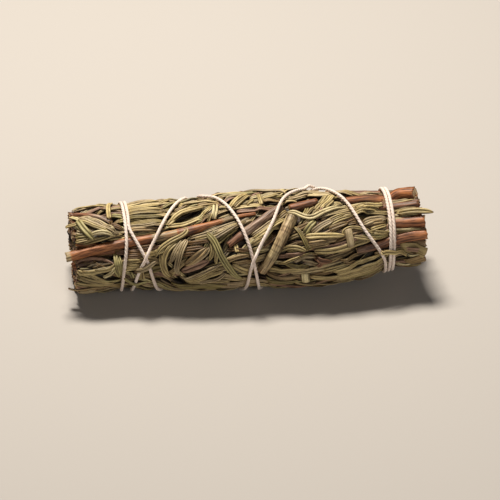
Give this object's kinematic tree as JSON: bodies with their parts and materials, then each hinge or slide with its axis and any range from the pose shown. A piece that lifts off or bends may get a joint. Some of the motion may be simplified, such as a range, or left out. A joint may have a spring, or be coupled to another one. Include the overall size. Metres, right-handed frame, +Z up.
{
  "type": "smudge stick",
  "caption": "Hand-length smudge stick: dried needle-leaved herb sprigs and bare twigs pressed into a round bundle, cut square at both ends and bound criss-cross with cotton string.",
  "frame": {"origin": "on the table, under the middle of the bundle as it lies", "axes": "+X along the stick, -Y the front that faces the viewer, +Z up"},
  "size_m": [0.1058, 0.0325, 0.0284],
  "materials": {
    "leafy_sprig": "dried khaki and grey-green needle leaves on brown stems, matt",
    "dried_leaf": "dried narrow leaf, grooved, rolled margins, matt with a faint sheen",
    "bare_wood": "thin orange-brown bark, peeling in places, paler cut ends",
    "cotton": "plied white cotton string, soft and slightly fuzzy"
  },
  "bodies": {
    "root": {"cotton_string": "cotton", "leaf_back_high": "dried_leaf", "leaf_back_left": "dried_leaf", "leaf_back_low": "dried_leaf", "leaf_back_middle": "dried_leaf", "leaf_bent_right": "dried_leaf", "leaf_cross_front": "dried_leaf", "leaf_fan_front": "dried_leaf", "leaf_left_low": "dried_leaf", "leaf_left_pale": "dried_leaf", "leaf_left_short": "dried_leaf", "leaf_left_upright": "dried_leaf", "leaf_low_front": "dried_leaf", "leaf_low_stub": "dried_leaf", "leaf_right_low": "dried_leaf", "leaf_right_stub": "dried_leaf", "leaf_right_upper": "dried_leaf", "leaf_tip_right": "dried_leaf", "leaf_top_arch": "dried_leaf", "leaf_top_left_stub": "dried_leaf", "leaf_top_pale": "dried_leaf", "leaf_tuft_high": "dried_leaf", "leaf_tuft_low": "dried_leaf", "leaf_under_left_back": "dried_leaf", "leaf_under_left_front": "dried_leaf", "leaf_under_middle_back": "dried_leaf", "leaf_under_middle_front": "dried_leaf", "leaf_under_right_back": "dried_leaf", "leaf_under_right_front": "dried_leaf", "sprig_centre": "leafy_sprig", "sprig_inner_01": "leafy_sprig", "sprig_inner_02": "leafy_sprig", "sprig_inner_03": "leafy_sprig", "sprig_inner_04": "leafy_sprig", "sprig_inner_05": "leafy_sprig", "sprig_outer_01": "leafy_sprig", "sprig_outer_02": "leafy_sprig", "sprig_outer_03": "leafy_sprig", "sprig_outer_04": "leafy_sprig", "sprig_outer_05": "leafy_sprig", "sprig_outer_06": "leafy_sprig", "sprig_outer_07": "leafy_sprig", "sprig_outer_08": "leafy_sprig", "sprig_outer_09": "leafy_sprig", "sprig_outer_10": "leafy_sprig", "twig_back_left": "bare_wood", "twig_back_long": "bare_wood", "twig_back_right": "bare_wood", "twig_long_front": "bare_wood", "twig_mauve_front": "bare_wood", "twig_right_front": "bare_wood", "twig_right_low": "bare_wood", "twig_ringed_front": "bare_wood", "twig_stub_top": "bare_wood", "twig_top_left": "bare_wood", "twig_top_right_thick": "bare_wood", "twig_top_right_thin": "bare_wood"}
  },
  "joints": []
}
